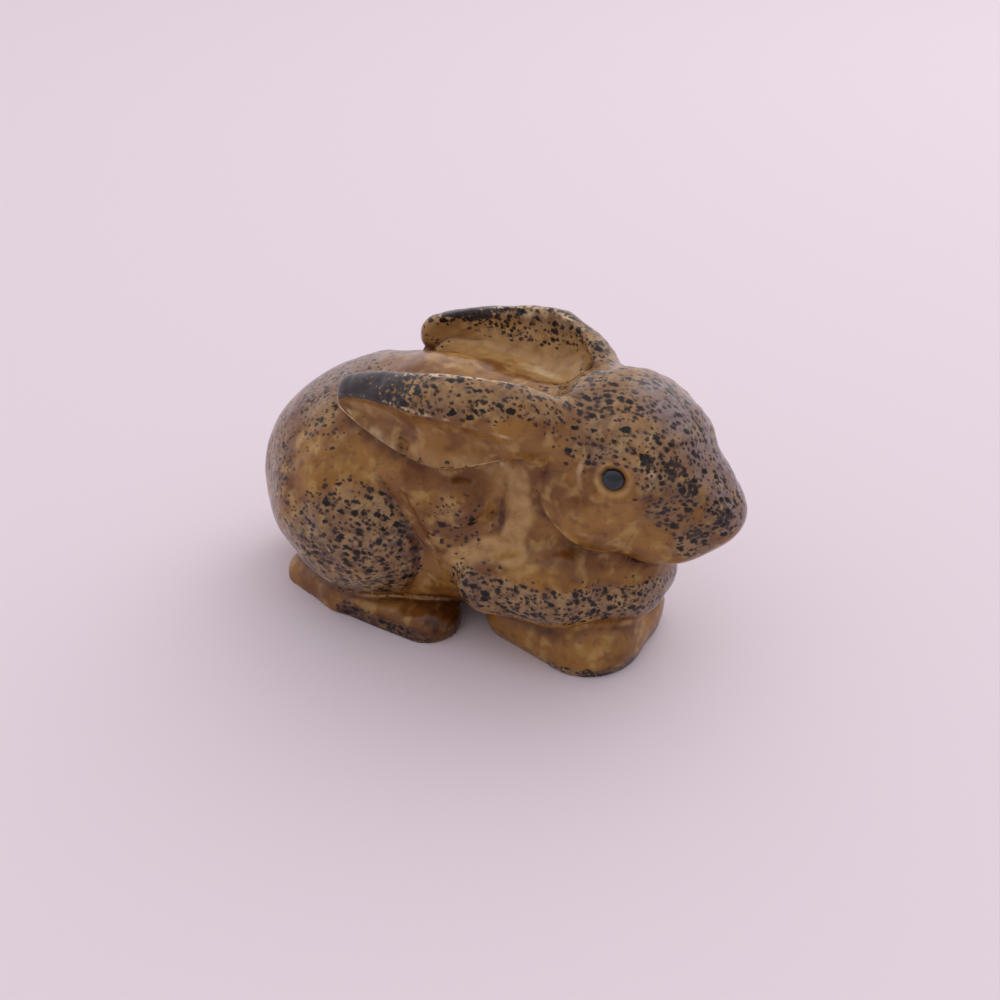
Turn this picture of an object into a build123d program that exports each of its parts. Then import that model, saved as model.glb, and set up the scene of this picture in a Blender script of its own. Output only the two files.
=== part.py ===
"""A small glazed stoneware rabbit, crouching with its ears laid back along its shoulders.

The trunk and the head are hollow shells that vent through the neck and a hole in the base.
Ears, haunches, legs, feet, eyes and tail are solid pieces luted on to them, face to face.
Millimetres, +X to the nose, +Y to the rabbit's left, +Z up, base on Z = 0.
"""
from build123d import *
import math
import os

# Trunk: a hollow loaf on a flat base, with a vent in the base and an open neck
body_length = 61.0
body_width = 30.0
body_height = 35.4
wall = 3.0
vent_bore = 6.0
neck_bore = 8.0

# Head: reaches out past the chest, its jaw held clear of the paws
head_length = 26.6
head_width = 20.8
head_height = 23.2
head_reach = 8.8

# Ears: leaves laid back on the shoulders, scooped out on the outer side
ear_length = 34.0
ear_height = 12.4
ear_thickness = 7.4
scoop_depth = 3.3
scoop_stand_off = 0.9

# Haunches and the long hind feet under them
haunch_length = 23.1
haunch_thickness = 17.8
haunch_swell = 2.5
hind_foot_length = 28.2
hind_foot_width = 9.2
hind_foot_height = 4.8

# Folded forelegs and the paws under them
foreleg_thickness = 12.2
foot_gap = 2.3
forepaw_height = 7.8

# Eyes: beads seated in shallow sockets. Tail: a low scut on the rump
eye_diameter = 2.7
eye_seat = 1.2
eye_dome = 0.6
tail_width = 7.4
tail_height = 9.4
tail_reach = 1.0

# The tail and the nose reach equally far from the origin, and the rest grows with the trunk
rump_x = (tail_reach - body_length - head_reach) / 2
nose_x = rump_x + body_length + head_reach
head_x = nose_x - head_length
haunch_height_share = 0.62
haunch_height = haunch_height_share * body_height
jaw_height_share = 0.446
jaw_height = jaw_height_share * body_height
foreleg_length_share = 0.378
foreleg_length = foreleg_length_share * body_length
foreleg_spread_share = 0.667
foreleg_spread = foreleg_spread_share * body_width
forepaw_spread_share = 0.787
forepaw_spread = forepaw_spread_share * body_width
cut_size = 4 * (body_length + head_reach)
quarter_reach_share = 4 / 3 * math.tan(math.pi / 8)

# Trunk sections from rump to chest: place, width, top and underside
body_section_shares = [
    (0.000, 0.16, 0.485, 0.330),
    (0.016, 0.30, 0.555, 0.265),
    (0.046, 0.51, 0.655, 0.165),
    (0.092, 0.69, 0.745, 0.075),
    (0.182, 0.895, 0.860, -0.020),
    (0.272, 0.985, 0.935, -0.060),
    (0.362, 0.995, 0.968, -0.068),
    (0.452, 0.90, 0.987, -0.035),
    (0.530, 0.85, 0.992, 0.015),
    (0.633, 0.80, 0.995, 0.080),
    (0.723, 0.68, 0.990, 0.070),
    (0.813, 0.60, 0.925, 0.060),
    (0.903, 0.48, 0.685, 0.100),
    (0.957, 0.315, 0.530, 0.175),
    (0.985, 0.175, 0.440, 0.260),
    (1.000, 0.065, 0.390, 0.320),
]

# Head sections from nape to nose: place, width, top and underside
head_section_shares = [
    (0.000, 0.58, 0.73, 0.37),
    (0.045, 0.88, 0.83, 0.21),
    (0.120, 0.965, 0.91, 0.09),
    (0.200, 1.00, 0.96, 0.03),
    (0.310, 1.00, 1.00, 0.00),
    (0.420, 0.965, 0.995, 0.00),
    (0.535, 0.88, 0.965, 0.00),
    (0.645, 0.765, 0.895, 0.00),
    (0.720, 0.655, 0.82, 0.01),
    (0.795, 0.55, 0.69, 0.045),
    (0.870, 0.43, 0.57, 0.115),
    (0.930, 0.33, 0.485, 0.18),
    (0.975, 0.20, 0.42, 0.26),
    (1.000, 0.08, 0.37, 0.31),
]

# Ear sections from tip to root: place, distance out, centre height, height and thickness
ear_section_shares = [
    (0.00, 0.340, 0.918, 0.18, 0.24),
    (0.025, 0.343, 0.926, 0.36, 0.44),
    (0.095, 0.353, 0.935, 0.53, 0.60),
    (0.18, 0.367, 0.938, 0.68, 0.76),
    (0.33, 0.383, 0.935, 0.87, 0.92),
    (0.475, 0.390, 0.943, 1.00, 1.00),
    (0.62, 0.367, 0.966, 0.90, 0.97),
    (0.74, 0.323, 0.977, 0.76, 0.92),
    (0.83, 0.277, 0.966, 0.645, 0.865),
    (0.945, 0.195, 0.932, 0.42, 0.65),
    (1.00, 0.150, 0.910, 0.24, 0.38),
]
ear_root_share = 0.34
ear_roll = 4.0

# Hollow of the ear from near its tip to near its root: place, centre height, height and depth
scoop_section_shares = [
    (0.05, 0.931, 0.06, 0.34),
    (0.07, 0.926, 0.14, 0.46),
    (0.125, 0.920, 0.29, 0.68),
    (0.24, 0.908, 0.49, 0.95),
    (0.42, 0.894, 0.605, 1.00),
    (0.565, 0.901, 0.55, 1.00),
    (0.71, 0.912, 0.37, 0.80),
    (0.80, 0.910, 0.19, 0.54),
    (0.85, 0.905, 0.06, 0.32),
]

# Haunch sections from rear to knee: place, then thickness and height alike
haunch_section_shares = [
    (0.00, 0.14),
    (0.05, 0.44),
    (0.15, 0.715),
    (0.325, 0.935),
    (0.50, 1.00),
    (0.675, 0.935),
    (0.85, 0.715),
    (0.95, 0.44),
    (1.00, 0.14),
]
haunch_rear_share = 0.128
haunch_lift_share = 0.40

# Hind foot sections from heel to toes: place, distance out, width and top
hind_foot_section_shares = [
    (0.00, 0.235, 0.24, 0.36),
    (0.035, 0.235, 0.58, 0.66),
    (0.115, 0.240, 0.79, 0.82),
    (0.29, 0.280, 0.87, 0.90),
    (0.47, 0.308, 0.92, 0.94),
    (0.64, 0.317, 0.96, 0.96),
    (0.84, 0.323, 1.00, 0.98),
    (0.93, 0.322, 0.86, 0.90),
    (0.98, 0.320, 0.56, 0.70),
    (1.00, 0.320, 0.26, 0.48),
]
hind_foot_rear_share = 0.098
heel_x = rump_x + hind_foot_rear_share * body_length
sole_sink_share = 0.50

# Foreleg sections from elbow to breast: place, distance out, height and thickness
foreleg_section_shares = [
    (0.00, 0.436, 0.307, 0.16),
    (0.042, 0.437, 0.307, 0.56),
    (0.108, 0.437, 0.308, 0.76),
    (0.206, 0.435, 0.309, 0.85),
    (0.39, 0.388, 0.323, 0.93),
    (0.57, 0.335, 0.338, 1.00),
    (0.735, 0.240, 0.329, 0.90),
    (0.855, 0.135, 0.322, 0.83),
    (0.94, 0.035, 0.318, 0.79),
    (1.00, -0.05, 0.317, 0.77),
]
foreleg_front_share = 0.950

# Forepaw sections from heel to toes: place, distance out, width and top
forepaw_section_shares = [
    (0.00, 0.195, 0.10, 0.46),
    (0.035, 0.195, 0.24, 0.68),
    (0.10, 0.197, 0.32, 0.82),
    (0.20, 0.20, 0.37, 0.87),
    (0.42, 0.215, 0.43, 0.96),
    (0.65, 0.230, 0.475, 1.02),
    (0.76, 0.225, 0.475, 1.00),
    (0.90, 0.185, 0.42, 0.86),
    (0.965, 0.150, 0.32, 0.66),
    (1.00, 0.130, 0.12, 0.42),
]
forepaw_front_share = 0.960

# Tail sections from tip to rump: place, width and height
tail_section_shares = [
    (0.00, 0.50, 0.50),
    (0.15, 0.76, 0.76),
    (1.00, 1.00, 1.00),
]
tail_height_share = 0.24
tail_depth_share = 0.50

# Where the eyes look out of the head, where the neck opens and where the vent is
eye_place_share = 0.37
eye_height_share = 0.518
eye_turn = -72.0
eye_lift = 14.0
neck_place_share = 0.50
neck_height_share = 0.50
throat_place_share = 0.60
throat_height_share = 0.50
vent_place_share = 0.45


def oval(place, width, height, roll=0.0):
    """One oval across X of four quarter curves, rolled about its own middle."""
    corners = []
    for quarter in range(4):
        turn = math.pi * (quarter / 2 + 1 / 4)
        point = Vector(math.cos(turn) * width / 2, math.sin(turn) * height / 2)
        reach = Vector(-math.sin(turn) * width / 2, math.cos(turn) * height / 2) * quarter_reach_share
        corners.append((point, reach))
    pairs = zip(corners, corners[1:] + corners[:1])
    outline = [Bezier(start, start + out, end - back, end) for (start, out), (end, back) in pairs]
    across = Plane(origin=place, x_dir=(0, 1, 0), z_dir=(1, 0, 0))
    return across * Rot(0, 0, roll) * make_face(outline)


def above(solid, height):
    """What lies above a height."""
    return solid - Pos(0, 0, height - cut_size / 2) * Box(cut_size, cut_size, cut_size)


def right_half(solid):
    """What lies on the rabbit's right of the middle plane."""
    return solid & Pos(0, -cut_size / 2, 0) * Box(cut_size, cut_size, cut_size)


def loaf(shares, start_x, low, size, inset):
    """Loft of middle-plane ovals by width, top and underside, all drawn in by an inset."""
    length, width, height = (side - 2 * inset for side in size)
    sections = []
    for place_share, width_share, top_share, under_share in shares:
        x = start_x + inset + place_share * length
        middle = low + inset + (top_share + under_share) / 2 * height
        sections.append(oval((x, 0, middle), width_share * width, (top_share - under_share) * height))
    return loft(sections)


def make_trunk(inset):
    """The trunk on its base, drawn in by an inset for its hollow."""
    size = (body_length, body_width, body_height)
    return above(loaf(body_section_shares, rump_x, 0, size, inset), inset)


def make_head(inset):
    """The head, drawn in by an inset for its hollow."""
    size = (head_length, head_width, head_height)
    return loaf(head_section_shares, head_x, jaw_height, size, inset)


def ear_side(place_share):
    """Distance out to the ear's outer face, between the sections beside a place."""
    rows = zip(ear_section_shares, ear_section_shares[1:])
    near, far = next((a, b) for a, b in rows if a[0] <= place_share <= b[0])
    blend = (place_share - near[0]) / (far[0] - near[0])
    out_share, thick_share = (near[i] + blend * (far[i] - near[i]) for i in (1, 4))
    return out_share * body_width + thick_share * ear_thickness / 2


def make_ear():
    """Right ear: a bowed leaf with a hollow in its outer face."""
    tip_x = head_x + ear_root_share * head_length - ear_length
    leaf = []
    for place_share, out_share, height_share, tall_share, thick_share in ear_section_shares:
        place = (tip_x + place_share * ear_length, -out_share * body_width, height_share * body_height)
        leaf.append(oval(place, thick_share * ear_thickness, tall_share * ear_height, ear_roll))
    hollow = []
    for place_share, height_share, tall_share, deep_share in scoop_section_shares:
        side = ear_side(place_share) + scoop_stand_off
        place = (tip_x + place_share * ear_length, -side, height_share * body_height)
        hollow.append(oval(place, 2 * deep_share * scoop_depth, tall_share * ear_height))
    return loft(leaf) - loft(hollow)


def make_haunch():
    """Right haunch: a thigh above the foot that swells out past the side of the trunk."""
    rear_x = rump_x + haunch_rear_share * body_length
    out = (body_width - haunch_thickness) / 2 + haunch_swell
    height = hind_foot_height + haunch_lift_share * haunch_height
    sections = []
    for place_share, size_share in haunch_section_shares:
        place = (rear_x + place_share * haunch_length, -out, height)
        sections.append(oval(place, size_share * haunch_thickness, size_share * haunch_height))
    return above(loft(sections), 0)


def flat_foot(shares, rear_x, length, out_size, width, height):
    """Loft of ovals along a foot, cut flat where it stands on the base."""
    sections = []
    for place_share, out_share, width_share, top_share in shares:
        top = top_share * height
        sink = sole_sink_share * top
        place = (rear_x + place_share * length, -out_share * out_size, (top - sink) / 2)
        sections.append(oval(place, width_share * width, top + sink))
    return above(loft(sections), 0)


def make_hind_foot():
    """Right hind foot: a long low foot that lies flat under the haunch."""
    size = (hind_foot_length, body_width, hind_foot_width, hind_foot_height)
    return flat_foot(hind_foot_section_shares, heel_x, *size)


def make_forepaw():
    """Right forepaw: rounded and flat on the base, tucked under the foreleg."""
    rear_x = heel_x + hind_foot_length + foot_gap
    length = rump_x + forepaw_front_share * body_length - rear_x
    size = (length, forepaw_spread, forepaw_spread, forepaw_height)
    return right_half(flat_foot(forepaw_section_shares, rear_x, *size))


def make_foreleg():
    """Right foreleg: folded forward from the elbow and round the breast to the middle plane."""
    elbow_x = rump_x + foreleg_front_share * body_length - foreleg_length
    middles = []
    for place_share, out_share, height_share, _ in foreleg_section_shares:
        x = elbow_x + place_share * foreleg_length
        middles.append(Vector(x, -out_share * foreleg_spread, height_share * body_height))
    sections = []
    for index, middle in enumerate(middles):
        before = middles[max(index - 1, 0)]
        after = middles[min(index + 1, len(middles) - 1)]
        thickness = foreleg_section_shares[index][-1] * foreleg_thickness
        sections.append(Plane(origin=middle, z_dir=after - before) * Circle(thickness / 2))
    return right_half(loft(sections))


def make_tail():
    """Tail: a low scut that lies against the rump."""
    depth = tail_reach + tail_depth_share * tail_height
    height = tail_height_share * body_height
    sections = []
    for place_share, width_share, tall_share in tail_section_shares:
        place = (rump_x - tail_reach + place_share * depth, 0, height)
        sections.append(oval(place, width_share * tail_width, tall_share * tail_height))
    return loft(sections)


def eye_plane(head):
    """Plane on the skin of the head's right side that faces out of the eye."""
    turn, lift = math.radians(eye_turn), math.radians(eye_lift)
    out = Vector(math.cos(turn) * math.cos(lift), math.sin(turn) * math.cos(lift), math.sin(lift))
    inside = Vector(head_x + eye_place_share * head_length, 0, jaw_height + eye_height_share * head_height)
    sight = Axis(inside, out)
    hits = [point for face in head.faces() for point, _ in face.find_intersection_points(sight)]
    return Plane(origin=max(hits, key=lambda point: (point - inside).dot(out)), z_dir=out)


def make_eye():
    """Eye bead along Z: a short plug with a low dome, its rim at height zero."""
    radius = eye_diameter / 2
    plug = Polyline((0, eye_dome), (0, -eye_seat), (radius, -eye_seat), (radius, 0))
    dome = TangentArc((0, eye_dome), (radius, 0), tangent=(1, 0))
    return revolve(Plane.XZ * make_face(plug + dome), Axis.Z)


def bore_between(start, end, diameter):
    """Round bore from one point to another."""
    span = end - start
    return Plane(origin=(start + end) / 2, z_dir=span) * Cylinder(diameter / 2, span.length)


def make_shells(trunk, head, sockets):
    """The hollow trunk and the hollow head, joined by the neck bore and vented in the base."""
    throat = Vector(rump_x + throat_place_share * body_length, 0, throat_height_share * body_height)
    neck = Vector(head_x + neck_place_share * head_length, 0, jaw_height + neck_height_share * head_height)
    vent = Pos(rump_x + vent_place_share * body_length, 0, 0) * Cylinder(vent_bore / 2, 4 * wall)
    body_shell = trunk - make_trunk(wall) - bore_between(throat, neck, neck_bore) - vent
    head_shell = head - trunk - make_head(wall) - sockets
    return {"body_shell": body_shell, "head_shell": head_shell}


def seat_side(raw, trunk, head):
    """The pieces of one side, the smaller ones cut by the larger ones that they sit on."""
    return {
        "ear": raw["ear"] - trunk - head,
        "haunch": raw["haunch"] - trunk,
        "hind_foot": raw["hind_foot"] - trunk - raw["haunch"],
        "foreleg": raw["foreleg"] - trunk - head,
        "forepaw": raw["forepaw"] - trunk - raw["foreleg"],
        "eye": raw["eye"],
    }


trunk = make_trunk(0)
head = make_head(0)
right = {
    "ear": make_ear(),
    "haunch": make_haunch(),
    "hind_foot": make_hind_foot(),
    "foreleg": make_foreleg(),
    "forepaw": make_forepaw(),
    "eye": eye_plane(head) * make_eye(),
}
left = {name: mirror(piece, about=Plane.XZ) for name, piece in right.items()}
parts = make_shells(trunk, head, [right["eye"], left["eye"]])
parts["tail"] = make_tail() - trunk
for side, raw in (("right", right), ("left", left)):
    for name, piece in seat_side(raw, trunk, head).items():
        parts[f"{side}_{name}"] = piece

os.makedirs("parts", exist_ok=True)
for name, piece in parts.items():
    export_step(piece, f"parts/{name}.step")
    print(name, len(piece.solids()), piece.is_valid, round(piece.volume))
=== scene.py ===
import bpy
import math
import numpy as np
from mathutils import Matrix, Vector


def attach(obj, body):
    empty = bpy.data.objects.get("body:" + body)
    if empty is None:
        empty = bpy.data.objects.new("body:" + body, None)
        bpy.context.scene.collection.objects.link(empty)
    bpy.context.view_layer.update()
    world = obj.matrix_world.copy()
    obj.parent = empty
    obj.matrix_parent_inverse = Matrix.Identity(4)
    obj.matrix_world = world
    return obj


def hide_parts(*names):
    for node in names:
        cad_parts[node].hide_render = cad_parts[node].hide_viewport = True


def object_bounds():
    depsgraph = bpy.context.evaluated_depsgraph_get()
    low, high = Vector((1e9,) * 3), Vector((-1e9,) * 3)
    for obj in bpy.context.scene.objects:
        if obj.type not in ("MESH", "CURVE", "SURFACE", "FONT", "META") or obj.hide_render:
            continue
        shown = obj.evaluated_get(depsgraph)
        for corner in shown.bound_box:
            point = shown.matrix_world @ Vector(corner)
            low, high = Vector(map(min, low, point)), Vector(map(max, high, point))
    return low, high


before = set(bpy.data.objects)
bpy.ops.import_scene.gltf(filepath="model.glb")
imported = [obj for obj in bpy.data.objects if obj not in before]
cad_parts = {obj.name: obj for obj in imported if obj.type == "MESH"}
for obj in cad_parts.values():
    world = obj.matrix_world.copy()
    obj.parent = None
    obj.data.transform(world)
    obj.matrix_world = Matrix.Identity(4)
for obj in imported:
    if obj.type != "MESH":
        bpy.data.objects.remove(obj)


# Body: the hollow trunk, slip cast in stoneware on a flat base with a vent hole. Rump, back, breast
# and the two pillars of the neck swell out of one loaf, with folds of skin between shoulder and
# haunch. Its own skin is made further down, with the ears, because its clay is drawn up to them.
cad_low, cad_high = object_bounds()
DRAWN_LENGTH = 70.8
mm = (cad_high[0] - cad_low[0]) / DRAWN_LENGTH

trunk_lumps = [
    ((-14.3, 0.0, 14.5), (20.0, 15.0, 17.0), 0.0),
    ((-10.0, 0.0, 19.0), (17.0, 12.5, 15.3), 4.0),
    ((-1.5, 0.0, 19.0), (14.5, 12.0, 15.7), 5.0),
    ((9.0, 0.0, 20.0), (12.0, 8.2, 15.0), 4.0),
    ((14.5, 0.0, 12.5), (11.7, 9.2, 10.5), 4.0),
]
neck_foot, neck_top = (9.2, -6.0, 14.0), (10.2, -6.2, 29.6)
neck_radii = (3.0, 3.3)
flank_hollow = [((-9.0, -15.6, 23.5), 2.4), ((-5.6, -15.2, 19.5), 3.1),
                ((-3.2, -14.8, 14.0), 3.3), ((-3.0, -14.2, 7.0), 3.3)]
skin_folds = [
    [((-7.4, -11.9, 23.4), 0.5), ((-5.2, -11.8, 20.0), 1.1),
     ((-3.2, -11.7, 16.6), 1.1), ((-1.0, -11.8, 14.0), 0.7)],
    [((-4.4, -12.5, 22.6), 0.4), ((-2.2, -12.4, 19.6), 1.0), ((-0.4, -12.0, 16.0), 0.8)],
]
neck_groove = [((7.0, -9.9, 28.0), 0.4), ((7.0, -10.3, 25.0), 1.0),
               ((6.9, -10.6, 20.5), 0.9), ((6.6, -10.8, 17.5), 0.3)]
shoulder_place, shoulder_radii = (2.0, -10.7, 22.4), (2.6, 2.2, 3.0)
vent_place, vent_radius, vent_depth = (-6.9, 0.0), 3.0, 3.0
NECK_FILLET, FOLD_FILLET, SHOULDER_FILLET, HOLLOW_ROUND, GROOVE_ROUND = 1.6, 1.0, 2.0, 1.6, 0.7
MIDDLE_ROUND = 0.8
LEAST_SLOPE = 1e-6


def right_side(p, soft=MIDDLE_ROUND):
    """Fold the figure over its middle plane, softly, so that one form serves both sides."""
    return np.stack([p[:, 0], -np.hypot(p[:, 1], soft), p[:, 2]], axis=1)


def smooth_min(a, b, k):
    """The nearer of two distances, rounded over a band of width k where they are alike."""
    h = np.clip(0.5 + 0.5 * (b - a) / k, 0.0, 1.0)
    return b + (a - b) * h - k * h * (1.0 - h)


def smooth_max(a, b, k):
    """The farther of two distances, rounded over a band of width k where they are alike."""
    return -smooth_min(-a, -b, k)


def smooth_step(low, high, x):
    """Zero below low, one above high, and an S-curve between."""
    t = np.clip((x - low) / (high - low), 0.0, 1.0)
    return t * t * (3.0 - 2.0 * t)


def ellipsoid(p, place, radii, yaw=0.0, pitch=0.0):
    """Near distance to an ellipsoid: the scaled radius less one, over the slope of that radius."""
    cy, sy = math.cos(math.radians(yaw)), math.sin(math.radians(yaw))
    cp, sp = math.cos(math.radians(pitch)), math.sin(math.radians(pitch))
    turn = np.array([[cy * cp, -sy, -cy * sp], [sy * cp, cy, -sy * sp], [sp, 0.0, cp]])
    q = (p - np.array(place)) @ turn / np.array(radii)
    scaled = np.sqrt((q * q).sum(axis=1))
    slope = np.sqrt(((q / np.array(radii)) ** 2).sum(axis=1))
    return scaled * (scaled - 1.0) / np.maximum(slope, LEAST_SLOPE)


def round_cone(p, start, end, start_radius, end_radius):
    """Distance to two spheres and the cone that wraps them: the nearer of caps and flank."""
    axis = np.array(end) - np.array(start)
    length2 = axis @ axis
    taper = start_radius - end_radius
    flank2 = length2 - taper * taper
    from_start = p - np.array(start)
    along = from_start @ axis
    beyond = along - length2
    across2 = ((from_start * length2 - along[:, None] * axis) ** 2).sum(axis=1)
    limit = np.sign(taper) * taper * taper * across2
    along2, beyond2 = along * along * length2, beyond * beyond * length2
    d = (np.sqrt(across2 * flank2 / length2) + along * taper) / length2 - start_radius
    start_cap = np.sqrt(across2 + along2) / length2 - start_radius
    end_cap = np.sqrt(across2 + beyond2) / length2 - end_radius
    d = np.where(np.sign(along) * flank2 * along2 < limit, start_cap, d)
    return np.where(np.sign(beyond) * flank2 * beyond2 > limit, end_cap, d)


def bead_chain(p, beads):
    """Distance to a bent rod: the nearest of the round cones between neighbouring beads."""
    links = zip(beads, beads[1:])
    return np.min([round_cone(p, a, b, ra, rb) for (a, ra), (b, rb) in links], axis=0)


def trunk_form(p):
    """The trunk: ellipsoids rounded into each other, hollowed at the flanks, with folds and neck."""
    q = right_side(p)
    d = ellipsoid(p, *trunk_lumps[0][:2])
    for place, radii, blend in trunk_lumps[1:]:
        d = smooth_min(d, ellipsoid(p, place, radii), blend)
    d = smooth_max(d, -bead_chain(q, flank_hollow), HOLLOW_ROUND)
    for fold in skin_folds:
        d = smooth_min(d, bead_chain(q, fold), FOLD_FILLET)
    d = smooth_min(d, ellipsoid(q, shoulder_place, shoulder_radii), SHOULDER_FILLET)
    d = smooth_min(d, round_cone(q, neck_foot, neck_top, *neck_radii), NECK_FILLET)
    return smooth_max(d, -bead_chain(q, neck_groove), GROOVE_ROUND)


def on_base(d, p):
    """Cut a form off flat at the base."""
    return np.maximum(d, -p[:, 2])


def vent_form(p):
    """The vent hole: a short upright cylinder in the base."""
    out = np.hypot(p[:, 0] - vent_place[0], p[:, 1] - vent_place[1]) - vent_radius
    return np.maximum(out, p[:, 2] - vent_depth)


hand_waves = [
    ((0.09, 0.05, 0.07), (0.05, 0.10, 0.05)),
    ((-0.06, 0.11, 0.12), (0.06, 0.08, 0.06)),
    ((0.17, -0.08, 0.10), (0.03, 0.06, 0.04)),
    ((0.21, 0.17, -0.19), (0.02, 0.05, 0.03)),
    ((0.43, 0.22, 0.35), (0.01, 0.015, 0.01)),
    ((-0.38, 0.30, 0.51), (0.01, 0.015, 0.01)),
]
BASE_CALM = 3.0
LEAST_CAP_ROWS, LEAST_MID_ROWS, LEAST_HALF_TURNS = 6, 2, 8


def hand_made(p):
    """The unevenness of hand work: slow and quick waves shift the clay a little, alike on both sides
    and not at all at the base. Each wave has its cycles per millimetre and its shift in X, Y and Z."""
    side = np.hypot(p[:, 1], MIDDLE_ROUND)
    apart = np.stack([p[:, 0], side, p[:, 2]], axis=1)
    own_way = np.stack([np.ones(len(p)), p[:, 1] / side, np.ones(len(p))], axis=1)
    calm = smooth_step(0.0, BASE_CALM, p[:, 2])[:, None] * own_way
    waves = [np.sin(2 * math.pi * apart @ np.array(cycles))[:, None] * np.array(shift)
             for cycles, shift in hand_waves]
    return p + calm * np.sum(waves, axis=0)


def fan_of_rays(start, end, reach, spacing, crowd, bow):
    """Rays out of a spine: fanned over half a turn at each end and square to it between, with the
    rows and the turns about a spacing apart at the given reach, the turns crowded, by a share,
    towards an angle, and the spine bowed. Returns origins, directions and the number of turns."""
    start, end = np.array(start), np.array(end)
    axis = (end - start) / np.linalg.norm(end - start)
    side = np.cross(axis, (0.0, 0.0, 1.0))
    side = side / np.linalg.norm(side)
    lift = np.cross(side, axis)
    cap_rows = max(LEAST_CAP_ROWS, int(math.pi / 2 * reach / spacing))
    mid_rows = max(LEAST_MID_ROWS, int(np.linalg.norm(end - start) / spacing))
    turns = 2 * max(LEAST_HALF_TURNS, int(math.pi * reach / spacing))
    cap = np.linspace(0.0, math.pi / 2, cap_rows, endpoint=False)[1:]
    tip = np.concatenate([math.pi - cap, np.full(mid_rows, math.pi / 2), cap[::-1]])
    slide = np.concatenate([np.zeros(cap_rows - 1), np.linspace(0, 1, mid_rows), np.ones(cap_rows - 1)])
    turn = np.linspace(0.0, 2 * math.pi, turns, endpoint=False)
    turn = turn - crowd[1] * np.sin(turn - crowd[0])
    ring = np.cos(turn)[:, None] * side + np.sin(turn)[:, None] * lift
    spine = start + slide[:, None] * (end - start) + (4 * slide * (1 - slide))[:, None] * np.array(bow)
    origins = np.repeat(spine, turns, axis=0)
    heading = np.cos(tip)[:, None, None] * axis + np.sin(tip)[:, None, None] * ring[None]
    poles = np.stack([start, end]), np.stack([-axis, axis])
    return np.vstack([origins, poles[0]]), np.vstack([heading.reshape(-1, 3), poles[1]]), turns


def skin_distance(field, origins, headings, longest, steps=18, halvings=13):
    """How far out along each ray the field first turns positive: coarse steps, then halvings."""
    inner = np.zeros(len(origins))
    outer = np.full(len(origins), float(longest))
    found = np.zeros(len(origins), bool)
    for step in np.linspace(0.0, longest, steps + 1)[1:]:
        outside = field(origins + step * headings) > 0.0
        outer[outside & ~found] = step
        found |= outside
        inner[~found] = step
    for _ in range(halvings):
        middle = (inner + outer) / 2
        outside = field(origins + middle[:, None] * headings) > 0.0
        outer = np.where(outside, middle, outer)
        inner = np.where(outside, inner, middle)
    return (inner + outer) / 2


def closed_faces(count, turns):
    """Quads between neighbouring rows of a closed grid, and a fan of triangles round each pole."""
    rows = count // turns
    i, j = np.meshgrid(np.arange(rows - 1), np.arange(turns), indexing="ij")
    k = (j + 1) % turns
    quads = np.stack([i * turns + j, (i + 1) * turns + j, (i + 1) * turns + k, i * turns + k], axis=-1)
    j = np.arange(turns)
    k = (j + 1) % turns
    last = (rows - 1) * turns
    tail = np.stack([np.full(turns, count), j, k], axis=-1)
    tip = np.stack([np.full(turns, count + 1), last + k, last + j], axis=-1)
    return quads.reshape(-1, 4).tolist() + tail.tolist() + tip.tolist()


def make_piece(name, points, faces, node):
    """A closed mesh from millimetre points, shaded smooth, that rides on the figure for its node."""
    mesh = bpy.data.meshes.new(name)
    mesh.from_pydata((points * mm).tolist(), [], faces)
    mesh.polygons.foreach_set("use_smooth", np.ones(len(faces), bool))
    mesh.update()
    piece = bpy.data.objects.new(name, mesh)
    bpy.context.collection.objects.link(piece)
    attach(piece, "root")
    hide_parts(node)
    return piece


def skin_of(field, start, end, reach, longest, spacing, crowd=(0.0, 0.0), bow=(0.0, 0.0, 0.0)):
    """The closed skin round a spine where the field is zero: points in millimetres and faces."""
    origins, headings, turns = fan_of_rays(start, end, reach, spacing, crowd, bow)
    uneven = lambda p: field(hand_made(p))
    points = origins + skin_distance(uneven, origins, headings, longest)[:, None] * headings
    return points, closed_faces(len(points) - 2, turns)


# Spacing of the mesh. Each piece's rays have two spine ends, a reach, a longest ray and a spacing.
FINE = 0.3
body_rays = ((-18.0, 0.0, 15.0), (10.0, 0.0, 15.0), 15.0, 26.0, FINE)
glazed = {}


def body_skin(p):
    """Zero on the trunk's outside: the trunk cut flat at the base, less the vent hole."""
    return np.maximum(on_base(trunk_form(p), p), -vent_form(p))


figure = trunk_form


# Tail: a low scut of the same stoneware, rolled by hand and luted flat against the rump.
# Its skin sinks under the body's past the fillet of slip, as that of every luted piece does.
tail_place, tail_radii = (-32.6, 0.0, 8.5), (2.6, 3.6, 4.6)
TAIL_FILLET = 1.0
SINK, OVERLAP = 1.0, 0.8
tail_rays = ((-32.4, 0.0, 8.5), (-31.8, 0.0, 8.5), 4.5, 9.0, FINE)


def luted(under, form, fillet):
    """Two forms joined with slip: the nearer of the two, rounded over a fillet that may vary."""
    return lambda p: smooth_min(under(p), form(p), fillet(p) if callable(fillet) else fillet)


def seated(under, form, fillet):
    """Skin of a luted piece: the joined form near it, sinking under its neighbours past the fillet."""
    def skin(p):
        below, own = under(p), form(p)
        wide = fillet(p) if callable(fillet) else fillet
        joined = smooth_min(below, own, wide) + SINK * np.maximum(0.0, own - below - wide - OVERLAP)
        return on_base(joined, p)
    return skin


def tail_form(p):
    """The scut: one ellipsoid."""
    return ellipsoid(p, tail_place, tail_radii)


points, faces = skin_of(seated(figure, tail_form, TAIL_FILLET), *tail_rays)
glazed["tail"] = make_piece("tail", points, faces, "tail")
figure = luted(figure, tail_form, TAIL_FILLET)


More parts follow.
